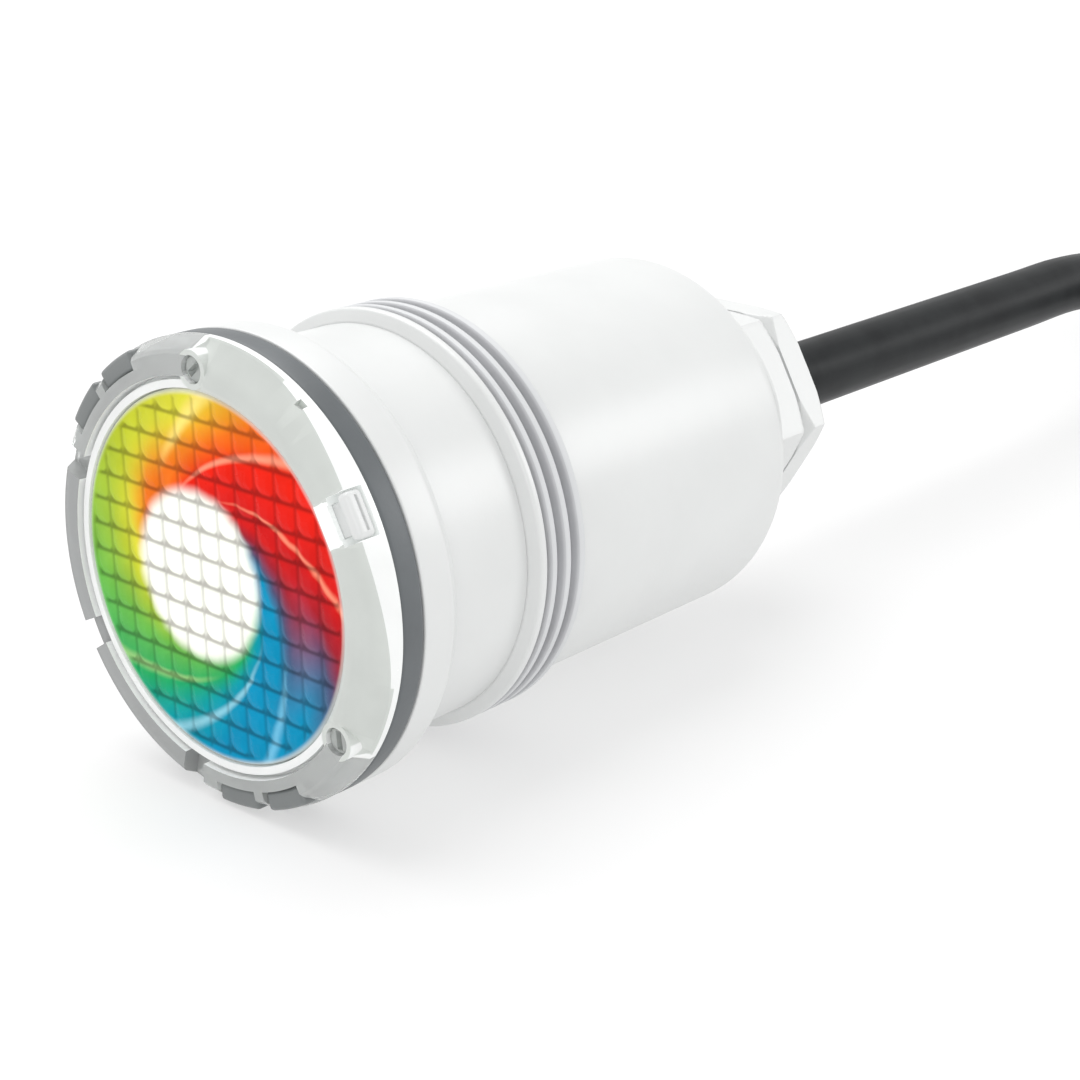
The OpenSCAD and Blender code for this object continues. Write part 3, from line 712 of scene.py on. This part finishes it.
def tube_curve(name, points, radius):
    """Round tube along points, as a curve."""
    data = bpy.data.curves.new(name, "CURVE")
    data.dimensions = "3D"
    data.bevel_depth = radius
    data.bevel_resolution = 7
    data.use_fill_caps = True
    line = data.splines.new("POLY")
    line.points.add(len(points) - 1)
    for place, p in zip(line.points, points):
        place.co = (*p, 1)
    line.use_smooth = True
    return link(bpy.data.objects.new(name, data))


def cable():
    """The whole cable, from the nut through the hank to its bare end."""
    piece = tube_curve("cable", cable_points(), cable_r)
    finished(piece, "cable", CABLE, "housing", "cable_rubber", "power_cable", "cable_hank", "cable_tail")


cable()

# ---------------------------------------------------------------- front end

SEAM = 0.02  # gap between fixed pieces that meet, in millimetres

# Sizes of the cap and its screws, in millimetres
CAP_BORE_R = 19.15
LAND_Y = -8.85  # the land's outer edge, away from the latch
CREST_RISE = 1.9  # how much further forward that edge is beside the latch
CREST_REACH = 44  # degrees on either side over which it rises
NOTCH_BACK = -9.1
WINDOW_BACK = -8.9
BOSS_R = 1.95
SCREW_HEAD_R = 1.4
SCREW_SHANK_R = 0.85
SLOT_CLOCK = 50  # turn of the screws' slots


def near_latch(clock):
    """1 at the crest, falling to 0 on either side."""
    return max(0.0, math.cos(math.pi / 2 * min(1.0, apart(clock, CREST_CLOCK) / CREST_REACH))) ** 1.5


def between_bosses(clock):
    """1 on the latch's side of the screw bosses and 0 on the far side."""
    return min(1.0, max(0.0, (BOSS_CLOCK + 1 - apart(clock, LATCH_CLOCK)) / 2))


def cap_outline(clock):
    """Section of the cap: a step and a flat rim, or on the latch's side one sloping land."""
    front, back, outer = cap_front / MM, gasket_front / MM, flange_r / MM
    side = between_bosses(clock)
    top = LAND_Y - CREST_RISE * near_latch(clock)
    far_side = [
        (22.95, -10.6), (22.85, -10.72), (22.5, front), (20.4, front),
        (20.35, -9.4), (20.0, -9.4), (19.95, -10.55), (CAP_BORE_R, -10.55),
    ]
    latch_side = [
        (23.8, top), (23.65, top - 0.04), (22.0, top - 0.75 * (top - front)), (20.9, front),
        (20.3, front), (19.9, front), (19.5, -10.95), (CAP_BORE_R, -10.7),
    ]
    corners = [(CAP_BORE_R, back), (outer, back), (outer, back - 0.75)]
    for far, near in zip(far_side, latch_side):
        corners.append(tuple(a * (1 - side) + b * side for a, b in zip(far, near)))
    return corners


CAP_CLEAR, CAP_PALE_AND_LIT, CAP_LAND, CAP_PANE_SHADE, CAP_POCKET, CAP_TAB = range(6)  # the cap's material numbers


def cap_material(r, y, clock, out):
    """Material number of a face of the cap's body."""
    if not between_bosses(clock):
        if r < 20.45:
            return CAP_PALE_AND_LIT
        return CAP_TAB if apart(clock, LATCH_CLOCK) > NOTCH_CLOCKS[0] + 4 else CAP_CLEAR
    across = r * math.sin(math.radians(clock - LATCH_CLOCK))
    pocket_half = 2.47 if r > 21.5 else 2.12  # beside the latch's head, then beside the bridge
    # Faces of the latch's pocket get the glowing copy: painted light over the shade in the pocket.
    if abs(across) < pocket_half and y < gasket_front / MM - 0.05:
        return CAP_POCKET
    # Outer wall faces that lean outward get the paler copy: painted light, the bright band along the
    # wall.
    if out > 0.8 and r > 22.3:
        return CAP_PALE_AND_LIT
    return CAP_LAND if r > 19.1 else CAP_CLEAR


def cap():
    """Castellated clear cap with two screw bosses, a bridge for the latch's tongue and dark panes in its
    windows, which are painted shade.
    """
    front, back, outer = cap_front / MM, gasket_front / MM, flange_r / MM
    boss_clocks = [LATCH_CLOCK + side * BOSS_CLOCK for side in (-1, 1)]
    body = turned_ring("cap", cap_outline, 720)
    bosses = [cylinder(BOSS_R, front, back, SCREW_CIRCLE_R, clock) for clock in boss_clocks]
    combine(body, bosses, "UNION")
    reach, ahead = outer + 1, front - 1
    cutters = [sector(LATCH_CLOCK + a, 8, 20.25, reach, ahead, NOTCH_BACK) for a in NOTCH_CLOCKS]
    cutters += [sector(LATCH_CLOCK + a, 15, 21.6, reach, ahead, WINDOW_BACK) for a in WINDOW_CLOCKS]
    small_notch = sector(LATCH_CLOCK + 28, 2.5, 23.2, reach, -9.55, -8.95)
    cutters.append(small_notch)
    for clock in boss_clocks:
        cutters.append(cylinder(SCREW_HEAD_R, ahead, front + 1.3, SCREW_CIRCLE_R, clock))
        cutters.append(cylinder(SCREW_SHANK_R, front, back + 1, SCREW_CIRCLE_R, clock))
    head_pocket = block((4, 3.45, 4.8), (23.4, front + 0.65, 0), LATCH_CLOCK)
    tongue_pocket = block((3, 3.25, 3.4), (20.65, front + 0.6, 0), LATCH_CLOCK)
    combine(body, [*cutters, head_pocket, tongue_pocket], "DIFFERENCE")
    bridge = block((1.85, 0.55, 4.2), (20.28, front + 0.275, 0), LATCH_CLOCK)
    combine(body, [bridge], "UNION")
    bevelled(body, 0.12)
    paint(body, cap_material)
    # Dark sheets set in the windows: painted shade where the inside shows dark through them.
    shade_panes = [sector(LATCH_CLOCK + a, 14.6, 21.7, outer - 0.3, -10.75, -8.95) for a in WINDOW_CLOCKS]
    for shade_pane in shade_panes:
        bevelled(shade_pane, 0.5, 4)
        paint(shade_pane, lambda r, y, clock, out: CAP_PANE_SHADE)
    piece = merged([body, *shade_panes])
    finished(piece, "front_cap_clear", CLEAR, "housing", "clear_cap", "front_cap")
    for material in (CLEAR_PALE_AND_LIT, CLEAR_LAND, PANE_SHADE, POCKET_PAINTED_GLOW, CLEAR_TAB):
        piece.data.materials.append(material)


SCALE_PITCH = 2.82
SCALE_DEPTH = 0.22
SLOPE_WIDTH = 0.36  # of a scale's sides, in pitches
SHADE_LINE_WIDTH = 0.115  # of the painted shade line round a scale, in pitches
GRID_X = 500.518  # where the grid of scales starts, in pitches, with whole ones added to stay above 0
GRID_Z = 500.309


def eased(t):
    """Smooth step from 0 to 1."""
    t = np.clip(t, 0, 1)
    return t * t * (3 - 2 * t)


def scale_shape(x, z):
    """Depth inside a scale, in pitches, and how dark its outline of painted shade is, strongest along its
    top and bottom edges. It is roundest at the lower left.
    """
    a = (x / SCALE_PITCH + GRID_X) % 1 - 0.5
    b = (z / SCALE_PITCH + GRID_Z) % 1 - 0.5
    corner = np.where(b < 0, np.where(a < 0, 0.48, 0.26), np.where(a < 0, 0.12, 0.05))
    qa = np.abs(a) - 0.5 + corner
    qb = np.abs(b) - 0.5 + corner
    inside = corner - np.hypot(np.maximum(qa, 0), np.maximum(qb, 0)) - np.minimum(np.maximum(qa, qb), 0)
    strength = 0.55 + 0.45 * eased((np.abs(b) - np.abs(a)) * 4 + 0.8)
    return inside, strength


def lens():
    """Lens with moulded scales on its front and a stepped edge behind the cap."""
    front, back = lens_front / MM, lens_back / MM
    r_max, r_edge = lens_r / MM, lens_edge_r / MM
    rings, segments = 170, 640
    angles = np.arange(segments) * TURN / segments
    vertices = [(0.0, front, 0.0)]
    groove = [0.0]
    for k in range(1, rings + 1):
        r = r_max * k / rings
        x, z = r * np.cos(angles), r * np.sin(angles)
        inside, strength = scale_shape(x, z)
        fade = min(1.0, max(0.0, (r_max - 0.4 - r) / 0.5))
        rim = 0.35 * max(0.0, (r - (r_max - 0.35)) / 0.35) ** 2
        y = front + SCALE_DEPTH * (1 - eased(inside / SLOPE_WIDTH)) * fade + rim
        vertices += list(zip(x, y, z))
        # Painted shade along the scales' outlines, kept in the groove attribute.
        groove += list((1 - eased((inside - 0.01) / SHADE_LINE_WIDTH)) * strength * fade)
    seat = gasket_front / MM + SEAM
    for r, y in ((r_max, seat), (r_edge, seat), (r_edge, back)):
        vertices += [(r * math.cos(a), y, r * math.sin(a)) for a in angles]
        groove += [0.0] * segments
    vertices.append((0.0, back, 0.0))
    groove.append(0.0)
    faces = [(0, 1 + i, 1 + (i + 1) % segments) for i in range(segments)]
    loops = rings + 3
    for k in range(loops - 1):
        a, b = 1 + k * segments, 1 + (k + 1) * segments
        for i in range(segments):
            j = (i + 1) % segments
            faces.append((a + i, b + i, b + j, a + j))
    last, centre = 1 + (loops - 1) * segments, len(vertices) - 1
    faces += [(last + i, centre, last + (i + 1) % segments) for i in range(segments)]
    data = bpy.data.meshes.new("lens")
    data.from_pydata([(x * MM, y * MM, z * MM) for x, y, z in vertices], [], faces)
    data.attributes.new("groove", "FLOAT", "POINT").data.foreach_set("value", groove)
    smooth(data, 40)
    piece = link(bpy.data.objects.new("lens", data))
    return finished(piece, "lens", LENS, "housing", "colour_lens", "lens_disc")


def latch():
    """White latch: a rounded head with a finger slot, and a tongue towards the lens."""
    front, back = low("cap_latch").y / MM, high("cap_latch").y / MM
    head = block((1.4, back - front, 4.6), (23.2, (front + back) / 2, 0))
    bevelled(head, 0.6, 5)
    tongue = block((2.8, 0.8, 3.2), (21.7, front + 0.9, 0))
    combine(head, [tongue], "UNION")
    finger_slot = block((1, 0.28, 3.4), (24.1, back - 0.95, 0))
    combine(head, [finger_slot], "DIFFERENCE")
    bevelled(head, 0.08, 2, 50)
    piece = turned_to(head, LATCH_CLOCK)
    return finished(piece, "latch_tab", WHITE, "latch", "white_plastic", "cap_latch")


def screws():
    """Slotted clear plastic screws of the cap."""
    top = cap_front / MM + 0.4
    head_end = top + 0.85
    corners = [
        (0, top, 0), (1.3, top, 0.2), (1.3, head_end, 0.05),
        (0.75, head_end, 0.05), (0.75, -1, 0.2), (0, -1, 0),
    ]
    parts = []
    for side in (-1, 1):
        head = lathe("screw", corners, 64, 3)
        combine(head, [block((1.9, 1.5, 0.7), (0, top, 0))], "DIFFERENCE")
        bevelled(head, 0.05, 2, 50)
        head.data.transform(Matrix.Rotation(math.radians(SLOT_CLOCK), 4, "Y"))
        head.data.transform(Matrix.Translation((SCREW_CIRCLE_R * MM, 0, 0)))
        parts.append(turned_to(head, LATCH_CLOCK + side * BOSS_CLOCK))
    return finished(merged(parts), "cap_screw_pair", SCREW, "housing", "clear_cap", "cap_screws")


def gasket():
    """Soft gasket, slightly squeezed out between the cap and the flange."""
    front, back, outer = gasket_front / MM, flange_front / MM, flange_r / MM
    start, end = front + SEAM, back - SEAM
    corners = [(22.6, start, 0.1), (outer, start, 0.5), (outer, end, 0.7), (22.6, end, 0.1)]
    piece = lathe("gasket", corners, 300)
    return finished(piece, "gasket", GASKET, "housing", "grey_gasket", "front_gasket")


cap()
lens()
latch()
screws()
gasket()

# ---------------------------------------------------------------- housing


# Radii of the housing, in millimetres
COLLAR_BORE_R = 17.6
SPIGOT_R = 19.08
TUBE_BORE_R = 19.1
PLUG_R = 16.3
PLUG_BORE_R = 9.7
GROOVE_R = 20.6  # the wide groove under the fins
SLEEVE_R = 21.0  # the fins' sleeve in it


def collar():
    """Flange and neck, with the spigot inside the tube."""
    front, outer, neck = flange_front / MM, flange_r / MM, barrel_r / MM
    shoulder = neck_end / MM - SEAM
    corners = [
        (COLLAR_BORE_R, front, 0.2), (outer, front, 0.25), (outer, -1.3, 1.2), (23.1, 0, 0.6),
        (neck + 1.0, 0, 0.2), (neck, 1.2, 1.2), (neck, shoulder, 0), (SPIGOT_R, shoulder, 0),
        (SPIGOT_R, 20, 0.2), (COLLAR_BORE_R, 20, 0.2),
    ]
    piece = lathe("collar", corners, 300, 6)
    return finished(piece, "flange_and_neck", WHITE, "housing", "white_plastic", "front_collar")


def tube():
    """Housing tube: a rounded band, the wide groove of the fins and the barrel."""
    end, outer, barrel = barrel_end / MM, fin_r / MM, barrel_r / MM
    start = neck_end / MM
    lip_r, lip_start = PLUG_R + 0.1, end - 2.5
    corners = [
        (TUBE_BORE_R, start, 0.1), (barrel + 0.2, start, 0.1), (outer, start + 0.55, 0.5),
        (outer, 13.45, 0.25), (GROOVE_R, 13.5, 0.1), (GROOVE_R, 19.98, 0.1),
        (barrel, 20.0, 0.15), (barrel, end, 3.0),
        (lip_r, end, 0.15), (lip_r, lip_start, 0), (TUBE_BORE_R, lip_start, 0),
    ]
    piece = lathe("tube", corners, 300, 8)
    return finished(piece, "housing_shell", WHITE, "housing", "white_plastic", "housing_tube")


def fins():
    """Three soft seal fins on a sleeve, each with a round crest. Flanks and grooves get a darker copy of
    the rubber, which is painted shade.
    """
    outer, inner = fin_r / MM, GROOVE_R + SEAM
    corners = [(inner, 13.56, 0.05), (SLEEVE_R, 13.56, 0.1)]
    for y0, y1 in ((13.95, 15.15), (16.0, 17.25), (18.1, 19.45)):
        corners += [(SLEEVE_R, y0, 0.15), (outer, y0 + 0.15, 0.45)]
        corners += [(outer, y1 - 0.1, 0.45), (SLEEVE_R, y1 + 0.1, 0.15)]
    corners += [(SLEEVE_R, 19.94, 0.1), (inner, 19.94, 0.05)]
    piece = lathe("fin", corners, 300, 5)
    # Flank and groove faces get the darker copy: painted shade in the grooves between the fins.
    paint(piece, lambda r, y, clock, out: 1 if r < outer - 0.3 or out < 0.8 else 0)
    finished(piece, "fin_set", FIN, "housing", "white_rubber", "seal_fins")
    piece.data.materials.append(FIN_PAINTED_SHADE)


def plug():
    """Rear plug with its boss."""
    start, end = barrel_end / MM - 5.5, boss_end / MM
    step = barrel_end / MM - 2.5 - SEAM
    corners = [
        (PLUG_BORE_R, start, 0.1), (SPIGOT_R, start, 0.3), (SPIGOT_R, step, 0),
        (PLUG_R, step, 0), (PLUG_R, end, 0.8), (PLUG_BORE_R, end, 0.1),
    ]
    piece = lathe("plug", corners, 240, 6)
    return finished(piece, "end_plug", WHITE, "housing", "white_plastic", "rear_plug")


collar()
tube()
fins()
plug()

# ---------------------------------------------------------------- gland


# Radii of the gland, in millimetres
THREAD_R = 9.55
NUT_BORE_R = 9.65
GLAND_BORE_R = 7.0
STUB_BORE_R = 4.6
NUT_HOLE_R = 4.8


def gland():
    """Gland body: hexagon, threaded neck and the stub inside the plug."""
    start, end = boss_end / MM + SEAM, hex_end / MM
    stub_start = low("gland_body").y / MM
    neck_top = high("gland_body").y / MM
    body = hexagon("gland", start, end, GLAND_BORE_R, 1.6)
    neck_start = end - 0.01
    neck = lathe("neck", [
        (GLAND_BORE_R, neck_start, 0), (THREAD_R, neck_start, 0), (THREAD_R, neck_top, 0.3),
        (GLAND_BORE_R, neck_top, 0.2),
    ], 120)
    stub = lathe("stub", [
        (STUB_BORE_R, stub_start, 0.1), (THREAD_R, stub_start, 0.3),
        (THREAD_R, start, 0), (STUB_BORE_R, start, 0),
    ], 120)
    piece = merged([body, neck, stub])
    return finished(piece, "gland_hexagon", WHITE, "housing", "white_plastic", "gland_body")


def nut():
    """Gland nut: a hexagon and a domed end round the cable."""
    start, end = nut_start / MM, nut_end / MM
    hex_top = start + 3.9
    body = hexagon("nut", start, hex_top, NUT_BORE_R, 1.5)
    dome_start, ceiling = hex_top - 0.01, end - 3.0
    dome = lathe("dome", [
        (NUT_BORE_R, dome_start, 0), (11.7, dome_start, 0.1), (11.6, hex_top + 0.9, 0.4),
        (10.6, hex_top + 2.9, 1.5), (8.6, end - 0.5, 1.2), (7.2, end, 0.5), (NUT_HOLE_R, end, 0.3),
        (NUT_HOLE_R, ceiling, 0.1), (NUT_BORE_R, ceiling, 0.1),
    ], 180, 6)
    return finished(merged([body, dome]), "gland_cap_nut", WHITE, "nut", "white_plastic", "gland_nut")


gland()
nut()

# ---------------------------------------------------------------- carried-over CAD nodes


def carry(material, *nodes):
    """Gives CAD nodes that keep their shape a finished material."""
    for name in nodes:
        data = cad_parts[name].data
        data.materials.clear()
        data.materials.append(material)


carry(BLACK_RUBBER, "lens_seal", "plug_seal", "gland_face_seal", "gland_grommet")
carry(WHITE, "reflector", "gland_locknut", "gland_washer")
carry(STEEL, "board_screws")
carry(ALUMINIUM, "heat_sink")
carry(BRASS, "standoffs")
carry(TINNED, "core_ferrules")
carry(TIE, "cable_ties")
carry(BROWN, "core_brown", "supply_core_brown")
carry(BLUE, "core_blue", "supply_core_blue")
carry(CABLE, "cable_entry")
carry(moulded("board_white", rgb(0.85, 0.85, 0.80), 0.4), "led_board")
carry(moulded("emitter_yellow", rgb(0.90, 0.80, 0.30), 0.25), "led_emitters")
carry(moulded("heat_pad", rgb(0.22, 0.27, 0.34), 0.7), "thermal_pad")
carry(moulded("board_green", rgb(0.01, 0.12, 0.04), 0.4), "driver_board")
carry(moulded("wound_wire", rgb(0.45, 0.13, 0.03), 0.3), "inductor")
carry(moulded("can_blue", rgb(0.01, 0.02, 0.08), 0.3), "capacitors")
carry(moulded("chip_black", rgb(0.015, 0.015, 0.015), 0.5), "rectifier_diodes", "controller_chip")
carry(moulded("block_green", rgb(0.02, 0.20, 0.05), 0.4), "terminal_block")
carry(moulded("wire_red", rgb(0.40, 0.01, 0.01), 0.4), "led_lead_red")
carry(moulded("wire_black", rgb(0.015, 0.015, 0.015), 0.4), "led_lead_black")
carry(moulded("resin", rgb(0.02, 0.022, 0.025), 0.2), "potting_plug")

# ---------------------------------------------------------------- floor and light


def floor():
    """Plain pale floor that glows a little, like a light table, so that shadows stay soft."""
    g = Graph("floor")
    tone = g.spread(g.noise(3.0, 2.0, 0.5))
    g.shade(
        Base_Color=g.mix(tone, rgb(0.39, 0.39, 0.39), rgb(0.42, 0.42, 0.42)),
        Roughness=0.9,
        Emission_Color=rgb(1.0, 1.0, 1.0),
        Emission_Strength=0.50,
    )
    radius, sides = 60.0, 48
    angles = [TURN * i / sides for i in range(sides)]
    corners = [(radius * math.cos(a), radius * math.sin(a), floor_z) for a in angles]
    piece = mesh_object("floor", corners, [tuple(range(sides))])
    piece.data.materials.append(g.material)


def sun(name, direction, strength, angle):
    """Soft even light that comes from a direction, over an angle in degrees."""
    data = bpy.data.lights.new(name, "SUN")
    data.energy = strength
    data.angle = math.radians(angle)
    lamp = link(bpy.data.objects.new(name, data))
    lamp.rotation_mode = "QUATERNION"
    lamp.rotation_quaternion = Vector(direction).to_track_quat("Z", "Y")


def studio():
    """Even white sky, a little brighter at the horizon, with three soft lights."""
    world = bpy.data.worlds.new("studio")
    world.use_nodes = True
    nodes, links = world.node_tree.nodes, world.node_tree.links
    place = nodes.new("ShaderNodeTexCoord")
    height = nodes.new("ShaderNodeSeparateXYZ")
    sky = nodes.new("ShaderNodeMapRange")
    for name, value in (("From Min", 0.10), ("From Max", 0.30), ("To Min", 1.0), ("To Max", 0.76)):
        sky.inputs[name].default_value = value
    background = nodes["Background"]
    background.inputs["Color"].default_value = rgb(1.0, 1.0, 1.0)
    links.new(place.outputs["Generated"], height.inputs[0])
    links.new(height.outputs["Z"], sky.inputs["Value"])
    links.new(sky.outputs["Result"], background.inputs["Strength"])
    bpy.context.scene.world = world
    sun("overhead", (-0.45, 0.1, 1.0), 1.95, 60)
    sun("side", (0.62, 0.71, 0.35), 0.46, 24)
    sun("front", (0.62, -0.71, 0.34), 0.38, 22)
    bpy.context.scene.view_settings.view_transform = "Standard"


floor()
studio()
